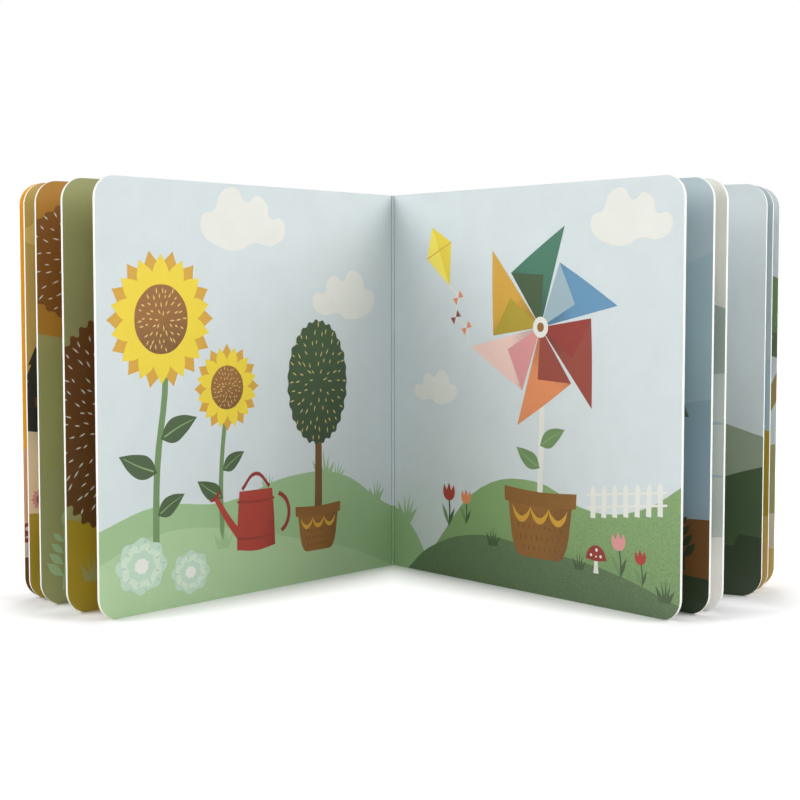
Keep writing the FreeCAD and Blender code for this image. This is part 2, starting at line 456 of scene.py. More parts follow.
def tulip(page, x, y, tall, ink, layer, turn=0.0):
    ribbon(page, placed([(0, 0), (0.03, 0.35), (0, 0.7)], x, y, tall, turn), tall * 0.05, "darkGreen",
           layer)
    cup = [(-0.17, 0.98, 1), (-0.2, 0.76), (-0.1, 0.62), (0.1, 0.62), (0.2, 0.76), (0.17, 0.98, 1),
           (0.08, 0.84, 1), (0, 1.02, 1), (-0.08, 0.84, 1)]
    page.shape([placed(cup, x, y, tall, turn)], ink, layer + 1)
    blade = [(0, 0, 1), (-0.16, 0.24), (-0.24, 0.52, 1), (-0.06, 0.28)]
    page.shape([placed(blade, x, y, tall, turn)], "leafGreen", layer + 1)
    page.shape([placed([(-px, py) + tuple(e) for px, py, *e in blade], x, y, tall * 0.86, turn)],
               "darkGreen", layer + 1)


def toadstool(page, x, y, tall, ink, layer):
    stalk = [(-0.13, 0, 1), (-0.09, 0.3), (-0.1, 0.6, 1), (0.1, 0.6, 1), (0.09, 0.3), (0.13, 0, 1)]
    page.shape([placed(stalk, x, y, tall)], "cream", layer)
    cap = [(-0.5, 0.5, 1), (-0.36, 0.82), (0, 1), (0.36, 0.82), (0.5, 0.5, 1), (0, 0.44)]
    page.shape([placed(cap, x, y, tall)], ink, layer + 1)
    spots = [placed(ring(6, r), x + px * tall, y + py * tall, tall) for px, py, r in
             ((-0.24, 0.64, 0.05), (0.02, 0.84, 0.06), (0.22, 0.62, 0.055), (0, 0.6, 0.035))]
    page.shape(spots, "cream", layer + 2)


def tree(page, x, y, wide, tall, ink, layer, bark="barkBrown", fleck="cream", foot=0.0, gap=4.2,
         long=2.6):
    base = foot if foot else y - tall * 0.9
    ribbon(page, [(x, base), (x + wide * 0.01, (base + y) / 2), (x, y)], wide * 0.13, bark, layer, 0.7)
    crown = []
    count = 2 * round(0.28 * (wide + tall))
    for i in range(count):
        grow = (1.0, 0.955)[i % 2] + page.chance.uniform(-0.012, 0.012)
        px, py = polar(grow, 360 * i / count)
        crown.append((x + px * wide / 2, y + py * tall / 2))
    page.shape([crown], ink, layer + 1,
               (x - wide * 0.2, y + tall * 0.3, x + wide * 0.35, y - tall * 0.6))
    spots = scattered(page, x, y, wide / 2, tall / 2, gap, True, inner=0.12)
    strokes(page, spots, long, long * 0.2, fleck, layer + 2)


def pine(page, x, y, tall, ink, layer):
    ribbon(page, [(x, y), (x, y + tall * 0.3)], tall * 0.06, "darkBrown", layer)
    form = [(-0.26, 0.16, 1), (-0.13, 0.44, 1), (-0.19, 0.44, 1), (-0.08, 0.7, 1), (-0.13, 0.7, 1),
            (0, 1, 1)]
    outline = form + [(-px, py, 1) for px, py, *_ in form[-2::-1]]
    page.shape([placed(outline, x, y, tall)], ink, layer + 1)


def bush(page, x, y, wide, tall, ink, layer, fleck=None):
    form = [(-1, 0, 1), (-0.98, 0.42), (-0.66, 0.62), (-0.4, 0.92), (0.02, 1), (0.34, 0.78),
            (0.7, 0.74), (0.96, 0.4), (1, 0, 1)]
    page.shape([placed(form, x, y, tall, wide=wide / 2 / tall)], ink, layer)
    if fleck:
        spots = scattered(page, x, y + tall * 0.1, wide * 0.44, tall * 0.72, 4.0)
        strokes(page, [spot for spot in spots if spot[1] > y + 2], 2.2, 0.45, fleck, layer + 1)


def sprig(page, x, y, tall, turn, ink, layer):
    pairs = 4
    ribbon(page, placed([(0, 0), (0.02, 0.5), (0, 1)], x, y, tall, turn), tall * 0.035, ink, layer, 0.5)
    outlines = []
    form = [(0, 0, 1), (0.5, 0.2), (1, 0, 1), (0.5, -0.2)]
    for i in range(pairs):
        up = 0.2 + 0.68 * i / pairs
        for side in (-1, 1):
            px, py = placed([(0, up)], 0, 0, tall, turn)[0]
            outlines.append(placed(form, x + px, y + py, tall * (0.34 - 0.04 * i),
                                   turn + 90 - side * 52))
    px, py = placed([(0, 0.94)], 0, 0, tall, turn)[0]
    outlines.append(placed(form, x + px, y + py, tall * 0.24, turn + 90))
    page.shape(outlines, ink, layer)


def pinwheel(page, x, y, size, layer):
    vanes = (("blue", "duskBlue"), ("teal", "hedge"), ("mustard", "yellowOlive"),
             ("pink", "rose"), ("orange", "redBrown"), ("redBrown", "brickRed"))   # a vane and its fold
    for i, (ink, under) in enumerate(vanes):
        turn = 60 * i + 12
        outer, inner = polar(size, turn), polar(size * 0.66, turn + 56)
        belly, mid = polar(size * 0.72, turn + 26), polar(size * 0.36, turn + 30)
        page.shape([placed([(0, 0, 1), outer + (1,), belly, inner + (1,)], x, y)], ink, layer,
                   (x + mid[0] * 1.6, y + mid[1] * 1.6, x + inner[0] * 0.6, y + inner[1] * 0.6))
        fold = polar(size * 0.5, turn + 14)
        page.shape([placed([(0, 0, 1), fold + (1,), inner + (1,)], x, y)], under, layer + 1)
    disc(page, x, y, size * 0.1, "cream", layer + 2)
    disc(page, x, y, size * 0.045, "brown", layer + 3)


def flowerpot(page, x, y, wide, tall, layer):
    body = [(-0.5, 0.86, 1), (-0.36, 0.06), (-0.28, 0, 1), (0.28, 0, 1), (0.36, 0.06), (0.5, 0.86, 1)]
    page.shape([placed(body, x, y, tall, wide=wide / tall)], "brown", layer,
               (x - wide * 0.1, y, x + wide * 0.6, y))
    rim = [(-0.55, 0.8, 1), (-0.56, 1.02, 1), (0, 0.98), (0.56, 1.02, 1), (0.55, 0.8, 1), (0, 0.76)]
    page.shape([placed(rim, x, y, tall, wide=wide / tall)], "rust", layer + 1)
    spots = []
    for row in range(4):
        for column in range(-5, 6):
            px = (column + 0.5 * (row % 2)) * wide * 0.082
            if abs(px) < wide * (0.3 + 0.04 * row):
                spots.append((x + px, y + tall * (0.14 + 0.16 * row), page.chance.uniform(78, 102)))
    strokes(page, spots, tall * 0.09, 0.7, "darkBrown", layer + 2)
    for px in (-0.28, 0, 0.28):
        swag = [(-0.15, 0.3, 1), (-0.1, 0.17), (0, 0.11), (0.1, 0.17), (0.15, 0.3, 1), (0.07, 0.21),
                (0, 0.18), (-0.07, 0.21)]
        page.shape([placed(swag, x + px * wide, y + tall * 0.36, wide)], "mustard", layer + 3)


def wateringCan(page, x, y, size, layer):
    grip = [polar(0.34, a) for a in range(-60, 75, 22)]
    ribbon(page, placed(grip, x + 0.4 * size, y + 0.5 * size, size), size * 0.07, "brickRed", layer)
    spout = [(-0.3, 0.16), (-0.6, 0.5), (-0.86, 0.86)]
    ribbon(page, placed(spout, x, y, size), size * 0.15, "red", layer, 0.6)
    sprinkler = [(-1.0, 0.82, 1), (-0.74, 1.0, 1), (-0.8, 0.9), (-0.9, 0.82)]
    page.shape([placed(sprinkler, x, y, size)], "brickRed", layer + 1)
    body = [(-0.42, 0, 1), (-0.4, 0.5), (-0.36, 0.92, 1), (0.36, 0.92, 1), (0.4, 0.5), (0.42, 0, 1),
            (0, -0.05)]
    page.shape([placed(body, x, y, size)], "red", layer + 1, (x, y, x + size * 0.5, y - size * 0.1))
    for low, high in ((0.16, 0.2), (0.74, 0.78)):
        band = [(-0.41, low, 1), (-0.405, high, 1), (0, high - 0.03), (0.405, high, 1), (0.41, low, 1),
                (0, low - 0.03)]
        page.shape([placed(band, x, y, size)], "brickRed", layer + 2)
    handle = [(-0.3, 0.95), (0, 1.18), (0.3, 0.95)]
    ribbon(page, placed(handle, x, y, size), size * 0.06, "brickRed", layer + 1)


def cabbage(page, x, y, size, layer):
    rows = (("mint", 1.0, 20), ("paleMint", 0.8, 50), ("mint", 0.56, 10), ("cream", 0.28, 0))
    for i, (ink, reach, start) in enumerate(rows):
        outline = []
        for k in range(16):
            grow = reach * (1 if k % 2 else 0.88)
            px, py = polar(grow, start + 22.5 * k)
            outline.append((x + px * size, y + py * size * 0.86))
        page.shape([outline], ink, layer + i)
    veins = [polar(size * reach, turn) + (turn,)
             for reach, first in ((0.87, 0), (0.67, 20)) for turn in range(first, 360, 40)]
    strokes(page, [(x + px, y + py * 0.86, turn) for px, py, turn in veins], size * 0.2, size * 0.035,
            "greenGrey", layer + 2)


def kite(page, x, y, size, turn, layer):
    corners = [(0, 1, 1), (0.62, 0.2, 1), (0, -1, 1), (-0.62, 0.2, 1)]
    page.shape([placed(corners, x, y, size, turn)], "lemon", layer)
    page.shape([placed([(0, 1, 1), (0.62, 0.2, 1), (0, -1, 1)], x, y, size, turn)], "yellow", layer + 1)
    ribbon(page, placed([(-0.62, 0.2), (0.62, 0.2)], x, y, size, turn), 0.5, "mustard", layer + 2)
    tail = placed([(0, -1), (0.22, -1.5), (-0.12, -2.0), (0.2, -2.5), (0.05, -3.0)], x, y, size, turn)
    ribbon(page, tail, 0.7, "cream", layer)
    for (tx, ty), ink in zip(tail[1:4], ("orange", "redBrown", "orange")):
        bow = [(0, 0, 1), (0.2, 0.13, 1), (0.2, -0.13, 1), (0, 0, 1), (-0.2, -0.13, 1), (-0.2, 0.13, 1)]
        page.shape([placed(bow, tx, ty, size, turn + 15)], ink, layer + 1)


def fence(page, x, y, count, gap, tall, layer):
    ink, slant = "cream", 0.12
    for high in (0.3, 0.68):
        start = (x - gap * 0.6, y + tall * high)
        end = (x + gap * (count - 0.4), y + tall * high + slant * gap * count)
        ribbon(page, [start, end], tall * 0.07, ink, layer)
    pickets = []
    for i in range(count):
        picket = [(-0.1, 0, 1), (-0.1, 0.86, 1), (0, 1, 1), (0.1, 0.86, 1), (0.1, 0, 1)]
        lean = page.chance.uniform(-2, 2)
        pickets.append(placed(picket, x + gap * i, y + slant * gap * i, tall, lean))
    page.shape(pickets, ink, layer + 1)


# The openings, from the front endpaper to the back one, and the outside of the covers

def gardenOpening(page):
    ground(page, "sky")
    cloud(page, -98, 160, 50)
    cloud(page, -34, 128, 42, flip=-1)
    cloud(page, 30, 86, 30, flip=-1)
    cloud(page, 152, 160, 44)
    hill(page, [(-182, 36), (-150, 44), (-110, 42), (-70, 50), (-36, 48), (-10, 34), (12, 22),
                (30, -2)], "softGreen", 2)
    hill(page, [(-182, 22), (-150, 32), (-112, 31), (-70, 22), (-30, 12), (-4, 2), (6, -2)],
         "lightGreen", 3)
    for x, y, tall, lean in ((-48, 48, 13, -0.1), (-40, 46, 9, 0.2), (-12, 34, 10, 0.15),
                             (8, 24, 13, 0.25), (-84, 45, 8, 0)):
        tuft(page, x, y, tall, "softGreen", 2, lean)
    sunflower(page, -146, 122, 29, 6)
    flowerStem(page, [(-150, 26), (-149, 60), (-144, 100), (-146, 118)], 3.6, 4,
               ((-149, 58, 22, 158), (-147, 72, 22, 22), (-149, 40, 17, 28)))
    sunflower(page, -109, 92, 19, 6, 12)
    flowerStem(page, [(-112, 24), (-113, 52), (-109, 88)], 2.8, 4,
               ((-112, 44, 17, 150), (-112, 56, 15, 30)))
    tuft(page, -112, 23, 10, "softGreen", 6)
    wateringCan(page, -92, 20, 28, 9)
    tree(page, -52, 92, 40, 58, "hedge", 4, "darkBrown", "straw", 22, 4.4, 2.8)
    flowerpot(page, -52, 14, 27, 21, 7)
    cabbage(page, -158, 20, 14, 8)
    cabbage(page, -131, 14, 11, 8)
    hill(page, [(18, -2), (34, 18), (62, 44), (96, 50), (132, 40), (160, 44), (182, 56)], "midGreen", 3,
         (90, 60, 120, -40))
    hill(page, [(8, -2), (26, 12), (60, 22), (96, 20), (140, 16), (182, 6)], "grassGreen", 5,
         (70, 58, 84, -36))
    fence(page, 132, 37.5, 7, 6.2, 14, 4)
    ribbon(page, [(100, 40), (101, 80), (100, 118)], 3.4, "cream", 6)
    leaf(page, 100, 66, 17, 28, "leafGreen", 6, 0.44, "midGreen")
    leaf(page, 100, 56, 17, 150, "leafGreen", 6, 0.44, "midGreen")
    pinwheel(page, 100, 118, 46, 7)
    flowerpot(page, 100, 16, 40, 30, 7)
    kite(page, 34, 150, 15, 24, 3)
    for x, y, tall, ink in ((40, 24, 20, "red"), (52, 26, 16, "orange"), (148, 14, 19, "rose"),
                            (160, 12, 15, "red")):
        tulip(page, x, y, tall, ink, 6, (x - 46) * 0.05)
    toadstool(page, 134, 14, 12, "brickRed", 6)
    for x, y, tall in ((70, 19, 8), (124, 15, 7), (172, 8, 9)):
        tuft(page, x, y, tall, "darkGreen", 6)


def autumnTreeOpening(page):
    ground(page, "olive")
    hill(page, [(-182, 40), (-130, 30), (-60, 36), (0, 28), (70, 36), (130, 30), (182, 40)],
         "yellowOlive", 1)
    tree(page, -150, 78, 84, 96, "darkBrown", 2, "darkOlive", "cream", 20, 5.0, 3.4)
    tree(page, -64, 96, 52, 70, "rust", 2, "darkBrown", "cream", 26, 4.6, 3)
    bush(page, -28, 28, 40, 24, "hedge", 3, "straw")
    tree(page, 60, 98, 64, 84, "barkBrown", 2, "darkOlive", "cream", 26, 5, 3)
    tree(page, 150, 104, 60, 80, "rust", 2, "darkBrown", "cream", 28, 5, 3)
    bush(page, 108, 26, 46, 22, "hedge", 3, "straw")
    for x in (-120, -96, 20, 84, 128, 170):
        toadstool(page, x, 14 + (x % 7), 13, "brickRed" if x % 2 else "orange", 4)
    for x in (-168, -140, -50, 0, 44, 96, 146):
        tuft(page, x, 12 + (x % 5), 11, "dullOlive", 3)


def hedgerowOpening(page):
    ground(page, "ochre")
    hill(page, [(-182, 116), (-150, 112), (-90, 118), (0, 110), (90, 118), (182, 112)], "dullOlive", 1)
    tree(page, -152, 146, 74, 54, "rust", 2, "darkBrown", "cream", 40, 4.8, 3)
    tree(page, -78, 120, 50, 60, "barkBrown", 2, "darkBrown", "cream", 40, 4.6, 3)
    hill(page, [(-182, 60), (-130, 54), (-70, 60), (0, 52), (80, 60), (182, 54)], "olive", 4)
    bush(page, -120, 52, 46, 26, "hedge", 5, "straw")
    bush(page, 40, 52, 60, 30, "hedge", 5, "straw")
    bush(page, 132, 50, 52, 26, "darkGreen", 5, "straw")
    tree(page, 100, 118, 60, 70, "rust", 2, "darkBrown", "cream", 40, 4.8, 3)
    for x in range(-170, 180, 26):
        sprig(page, x, 6, 28 + (x % 9), page.chance.uniform(-12, 12), "lightGreen", 6)


def meadowOpening(page):
    ground(page, "tanMustard")
    for x in range(-168, 180, 34):
        cloud(page, x, 158 - (x % 13), 26, "straw", 1)
    hill(page, [(-182, 92), (-160, 94), (-120, 86), (-60, 94), (0, 84), (80, 94), (182, 88)],
         "darkOlive", 1)
    for x in range(-176, 182, 16):
        pine(page, x, 84, 22 + (x % 5), "darkOlive", 1)
    hill(page, [(-182, 74), (-130, 68), (-60, 76), (0, 68), (90, 76), (182, 70)], "beige", 3)
    hill(page, [(-182, 38), (-150, 37), (-120, 32), (-70, 26), (0, 32), (80, 24), (182, 32)],
         "yellowOlive", 4)
    for i, x in enumerate(range(-174, 182, 15)):
        ink = ("rose", "lemon", "pink", "orange")[i % 4]
        sunflower(page, x, 44 + (i * 7) % 16, 5.2, 5, 8, ink, ink, "barkBrown")
        tulip(page, x + 6, 6, 20, ("red", "pink", "rose")[i % 3], 6)


def frontEndpaper(page):
    ground(page, "sunYellow")
    hill(page, [(-182, 66), (-120, 58), (-60, 66), (0, 58), (90, 66), (182, 60)], "peach", 1)
    hill(page, [(-182, 20), (-100, 14), (0, 20), (100, 14), (182, 20)], "barkBrown", 2)
    for row in range(3):
        for column in range(-6, 7):
            x = column * 28 + 14 * (row % 2)
            sprig(page, x, 84 + row * 32, 22, page.chance.uniform(-16, 16),
                  "yellowOlive" if (row + column) % 2 else "dullOlive", 3)
    for column in range(-7, 8):
        tuft(page, column * 25 + 8, 18, 14, "barkBrown", 2)
        toadstool(page, column * 25 - 4, 18, 15, "redBrown", 3)


def duskOpening(page):
    ground(page, "greyBlue")
    cloud(page, -120, 152, 54, "paleGrey")
    cloud(page, 60, 158, 54, "paleGrey")
    hill(page, [(-182, 118), (-130, 128), (-70, 108), (0, 120), (70, 104), (130, 132), (182, 150)],
         "dimBlue", 1)
    hill(page, [(-182, 84), (-110, 92), (-40, 78), (20, 92), (100, 78), (182, 90)], "duskBlue", 2)
    hill(page, [(-182, 40), (-120, 46), (-40, 36), (40, 44), (120, 38), (182, 40)], "barkBrown", 4)
    hill(page, [(-182, 14), (-90, 20), (0, 12), (90, 20), (182, 15)], "deepGreen", 5)
    for x in range(-170, 180, 22):
        pine(page, x, 70 + (x % 7), 30 + (x % 11), "oliveGrey", 2)
        sprig(page, x + 8, 18, 26, page.chance.uniform(-10, 10), "deepGreen", 6)


def lakeOpening(page):
    ground(page, "cream")
    cloud(page, -90, 156, 60, "white")
    cloud(page, 110, 150, 56, "white")
    hill(page, [(-182, 132), (-120, 140), (-50, 124), (0, 134), (60, 122), (130, 138), (182, 126)],
         "greenGrey", 1)
    hill(page, [(-182, 100), (-100, 96), (0, 102), (100, 94), (182, 100)], "paleGrey", 2)
    waves = []
    for row in range(5):
        waves += [(x + 12 * (row % 2), 46 + row * 11, 0) for x in range(-172, 180, 24)]
    strokes(page, waves, 13, 1.2, "dimBlue", 3)
    hill(page, [(-182, 30), (-120, 36), (-40, 28), (40, 36), (120, 26), (182, 32)], "white", 4)
    for x in range(-168, 160, 28):
        sprig(page, x - 6, 24, 34, page.chance.uniform(-14, 14), "sage", 5)
        tuft(page, x + 8, 26, 16, "midGreen", 5)
    bush(page, -120, 118, 60, 20, "oliveGrey", 1)
    bush(page, 70, 116, 70, 22, "oliveGrey", 1)


def hillsOpening(page):
    ground(page, "sky")
    cloud(page, -110, 150, 60)
    cloud(page, -20, 160, 40)
    cloud(page, 96, 152, 56)
    hill(page, [(-182, 84), (-120, 96), (-50, 76), (20, 92), (100, 74), (150, 78), (182, 70)], "sage",
         1)
    hill(page, [(-182, 52), (-110, 62), (-30, 48), (50, 62), (130, 46), (182, 58)], "darkGreen", 3)
    hill(page, [(-182, 24), (-90, 34), (0, 22), (90, 34), (182, 26)], "deepGreen", 5)
    for x in range(-172, 130, 19):
        pine(page, x, 66 + (x % 9), 24 + (x % 7), "oliveGrey", 1)
    for x in range(-160, 180, 38):
        bush(page, x, 44, 30, 20, "hedge", 4, "sage")
        tuft(page, x + 18, 24, 16, "darkGreen", 5)


def fieldOpening(page):
    ground(page, "greyBlue")
    cloud(page, -70, 150, 60, "paleGrey")
    cloud(page, 120, 150, 60, "paleGrey")
    hill(page, [(-182, 100), (-120, 108), (-40, 94), (40, 108), (120, 96), (182, 104)], "dimBlue", 1)
    hill(page, [(-182, 72), (-100, 80), (0, 68), (100, 80), (182, 72)], "yellowOlive", 2)
    hill(page, [(-182, 34), (-80, 42), (20, 30), (120, 42), (182, 34)], "tanMustard", 4)
    for x in range(-170, 180, 17):
        ribbon(page, [(x, 32), (x + 2, 50), (x + 1, 66)], 0.9, "straw", 3)
        leaf(page, x + 1, 60, 10, 84, "straw", 3, 0.34)
        tuft(page, x, 26, 12, "olive", 5)


def orchardOpening(page):
    ground(page, "sky")
    cloud(page, -60, 156, 50)
    cloud(page, 70, 158, 56)
    hill(page, [(-182, 30), (-90, 36), (0, 28), (90, 36), (150, 56), (182, 66)], "olive", 1)
    hill(page, [(-182, 30), (-90, 36), (0, 28), (90, 30), (182, 34)], "tan", 2)
    hill(page, [(-182, 12), (-90, 17), (0, 11), (90, 16), (182, 18)], "tanMustard", 3)
    for x, wide in ((-150, 70), (-66, 56), (62, 58), (166, 72)):
        ribbon(page, [(x + 3, 20), (x, 60), (x + 2, 110)], wide * 0.24, "trunk", 3, 0.7)
        ribbon(page, [(x, 66), (x + wide * 0.2, 92), (x + wide * 0.3, 116)], wide * 0.09, "trunk", 3,
               0.6)
        for dx, dy, grow in ((0, 128, 1.0), (-0.36, 112, 0.7), (0.38, 116, 0.7)):
            ink, side = ("oliveGrey", 4) if dx else ("leafGreen", 5)
            cloud(page, x + dx * wide, dy - 6, wide * grow * 0.86, ink, side, 0.78)
            spots = scattered(page, x + dx * wide, dy - 4, wide * grow * 0.36, 11 * grow, 5)
            strokes(page, spots, 2.4, 0.5, "sage", side + 1)
        for dx, dy in ((-0.2, 124), (0.1, 112), (0.3, 128), (-0.4, 110)):
            disc(page, x + dx * wide, dy - 4, 3.2, "red", 7)
    for x in range(-170, 180, 24):
        tuft(page, x, 26 + (x % 5), 13, "trunk", 3)


def coverOutside(page):
    ground(page, "coverMustard")
    for row in range(5):
        for column in range(7):
            x = -170 + column * 27 + 13 * (row % 2)
            if x < -6:
                sprig(page, x, 10 + row * 34, 20, page.chance.uniform(-14, 14),
                      "ochre" if (row + column) % 2 else "straw", 1)
    hill(page, [(2, 30), (40, 44), (90, 30), (130, 46), (182, 34)], "yellowOlive", 2)
    hill(page, [(2, 14), (60, 22), (120, 12), (182, 22)], "hedge", 3)
    cloud(page, 40, 150, 36, "straw")
    cloud(page, 150, 158, 34, "straw")
    flowerStem(page, [(90, 16), (92, 50), (90, 92)], 3.6, 4, ((91, 40, 24, 24), (91, 52, 24, 156)))
    sunflower(page, 90, 96, 34, 5)
    tulip(page, 40, 18, 30, "red", 4)
    tulip(page, 56, 16, 24, "pink", 4)
    tulip(page, 128, 18, 30, "orange", 4)
    tulip(page, 146, 16, 24, "cream", 4)
    for x in (24, 72, 108, 164):
        tuft(page, x, 14, 12, "hedge", 4)


openings = (
    ("front_endpaper", frontEndpaper, ("left", 5, "front"), ("left", 4, "back")),
    ("meadow", meadowOpening, ("left", 4, "front"), ("left", 3, "back")),
    ("hedgerow", hedgerowOpening, ("left", 3, "front"), ("left", 2, "back")),
    ("autumn_trees", autumnTreeOpening, ("left", 2, "front"), ("left", 1, "back")),
    ("garden", gardenOpening, ("left", 1, "front"), ("right", 1, "front")),
    ("dusk", duskOpening, ("right", 1, "back"), ("right", 2, "front")),
    ("lake", lakeOpening, ("right", 2, "back"), ("right", 3, "front")),
    ("hills", hillsOpening, ("right", 3, "back"), ("right", 4, "front")),
    ("fields", fieldOpening, ("right", 4, "back"), ("right", 5, "front")),
    ("orchard", orchardOpening, ("right", 5, "back"), ("right", 6, "front")),
    ("outside", coverOutside, ("right", 6, "back"), ("left", 5, "back")),
)


def pageCuts(hand, inner):
    sign = -1 if hand == "left" else 1
    wide, tall, inset = book["pageWidth"], book["pageHeight"], book["inset"]
    radius = book["cornerRadius"]
    cuts = [((sign * inner, 0, 0), (-sign, 0, 0)), ((sign * (wide - inset), 0, 0), (sign, 0, 0)),
            ((0, inset, 0), (0, -1, 0)), ((0, tall - inset, 0), (0, 1, 0))]
    for up in (-1, 1):
        middle = Vector((sign * (wide - radius), tall / 2 + up * (tall / 2 - radius), 0))
        for i in range(1, book["cornerCuts"]):
            turn = radians(90 / book["cornerCuts"] * i)
            away = Vector((sign * cos(turn), up * sin(turn), 0))
            cuts.append((middle + away * (radius - inset), away))
    return cuts


def pressAtFold(sheet, hand):   # so that a cover can close over its endpapers
    press = book["pressed"]
    pick(sheet)
    bpy.ops.object.mode_set(mode="EDIT")
    bpy.ops.mesh.select_all(action="SELECT")
    bpy.ops.mesh.bisect(plane_co=(press if hand == "right" else -press, 0, 0), plane_no=(1, 0, 0),
                        threshold=0.00001)
    bpy.ops.object.mode_set(mode="OBJECT")
    for point in sheet.data.vertices:
        point.co.z = (point.co.z + book["lift"]) * min(1.0, abs(point.co.x) / press) - book["lift"]


def layOnBoard(picture, hand, face, inner, endpaper):
    side, number, facing = face
    cover = covers.get((side, number))
    sheet = copyOf(picture, f"print_{side}_{number}_{facing}")
    cutAway(sheet, pageCuts(hand, inner))
    if endpaper:
        pressAtFold(sheet, hand)
    fold, along, across = boards[side][number - 1]
    origin = fold + (across * book["boardThickness"] if facing == "back" else Vector())
    axisX = -along if hand == "left" else along
    axisZ = axisX.cross(Vector((0, 0, 1)))
    origin = (origin + axisZ * book["lift"]) / 1000
    turned = Matrix((axisX, Vector((0, 0, 1)), axisZ)).transposed()
    sheet.data.transform(Matrix.Translation(origin) @ turned.to_4x4() @ Matrix.Scale(0.001, 4))
    sheet.data.update()
    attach(sheet, cover or "page_block")


for seed, (name, draw, leftFace, rightFace) in enumerate(openings):
    page = Picture(name, seed + 11)
    draw(page)
    picture = page.finish()
    for hand, face in (("left", leftFace), ("right", rightFace)):
        inner = book["hollowRadius"] if face[:2] in covers else book["ridgeRadius"]
        if name in ("outside", "garden"):
            inner = 0.0   # these faces run right up to their fold
        layOnBoard(picture, hand, face, inner, name in ("front_endpaper", "orchard"))
    bpy.data.objects.remove(picture)
print("board book: prints laid on the boards")


# Folds: the print that runs round the centre rib, and round the ridge behind each cover hinge

def wallAlong(name, line):   # a sheet standing on a line, left in edit mode with all of it selected
    bpy.ops.mesh.primitive_plane_add(size=1, location=(0, 0, 0))
    wall = bpy.context.active_object
    wall.name = wall.data.name = name
    bpy.ops.object.mode_set(mode="EDIT")
    bpy.ops.mesh.delete(type="VERT")
    bpy.ops.object.mode_set(mode="OBJECT")
    runs = [(i, i + 1) for i in range(len(line) - 1)]
    wall.data.from_pydata([(x / 1000, y / 1000, 0) for x, y in line], runs, [])
    pick(wall)
    bpy.ops.object.mode_set(mode="EDIT")
    bpy.ops.mesh.select_all(action="SELECT")
    bpy.ops.mesh.extrude_edges_move(TRANSFORM_OT_translate={"value": (0, 0, book["pageHeight"] / 1000)})
    bpy.ops.mesh.select_all(action="SELECT")
    return wall


def inkFaces(thing, inkOf):
    mesh = thing.data
    colours = mesh.color_attributes.new("ink", "FLOAT_COLOR", "CORNER")
    values = []
    for face in mesh.polygons:
        values += inkOf(face) * len(face.loop_indices)
    colours.data.foreach_set("color", values)
    mesh.attributes.new("shade", "FLOAT", "POINT")
    mesh.materials.clear()
    mesh.materials.append(printFinish)
    bpy.ops.object.shade_smooth_by_angle(angle=smoothAngle)


def foldStrip(name, line, levels, groove=(0, 0)):
    strip = wallAlong(name, line)
    for top, ink in levels[:-1]:
        bpy.ops.mesh.select_all(action="SELECT")
        bpy.ops.mesh.bisect(plane_co=(0, 0, top / 1000), plane_no=(0, 0, 1))
    bpy.ops.mesh.select_all(action="DESELECT")
    bpy.ops.object.mode_set(mode="OBJECT")

    def inkOf(face):
        ink = next(ink for top, ink in levels if face.center.z * 1000 <= top)
        # painted shade on the groove faces, darker than their print, added on top of the real shadow in
        # the grooves
        inGroove = groove[0] < abs(face.center.x) * 1000 < groove[1]
        dim = book["grooveShade"] if inGroove else 1.0
        return [c * dim for c in linear(inks[ink])[:3]] + [1.0]

    inkFaces(strip, inkOf)
    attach(strip, "page_block")


def arc(centre, radius, start, end, steps):
    turns = [radians(start + (end - start) * i / steps) for i in range(steps + 1)]
    return [(centre[0] + radius * cos(turn), centre[1] + radius * sin(turn)) for turn in turns]


lift = book["lift"]
leftLean, rightLean = (radians(book["leans"][side][0]) for side in ("left", "right"))
mouth, deep = book["gutterHalf"], book["gutterDepth"]
leftWall = (-mouth - sin(leftLean) * (deep - lift) / cos(leftLean), -lift)
rightWall = (mouth + sin(rightLean) * (deep - lift) / cos(rightLean), -lift)
rib = arc((0, 0), book["ribRadius"] + lift, 182, 358, book["ribSteps"])
ribLine = [(-mouth + lift, -deep - lift), leftWall] + rib + [rightWall, (mouth - lift, -deep - lift)]
foldLevels = {   # how high each ink reaches, as drawn beside the fold
    "centre": ((2, "lightGreen"), (29.4, "softGreen"), (181, "sky")),
    "left": ((17, "barkBrown"), (60, "peach"), (181, "sunYellow")),
    "right": ((30, "tan"), (181, "sky")),
}
foldStrip("centre_fold_print", ribLine, foldLevels["centre"], book["groove"])

for side in ("left", "right"):
    fold, along, across = boards[side][-1]
    inward = boards[side][-2][1]
    sign = 1 if side == "left" else -1
    start = degrees(atan2(inward.y, inward.x))
    wrap = start - sign * book["hingeWrap"]
    line = arc(fold, book["ridgeRadius"] + lift, start, wrap, book["hingeSteps"])
    foldStrip(f"{side}_hinge_print", line if side == "right" else line[::-1], foldLevels[side])
print("board book: fold prints made")
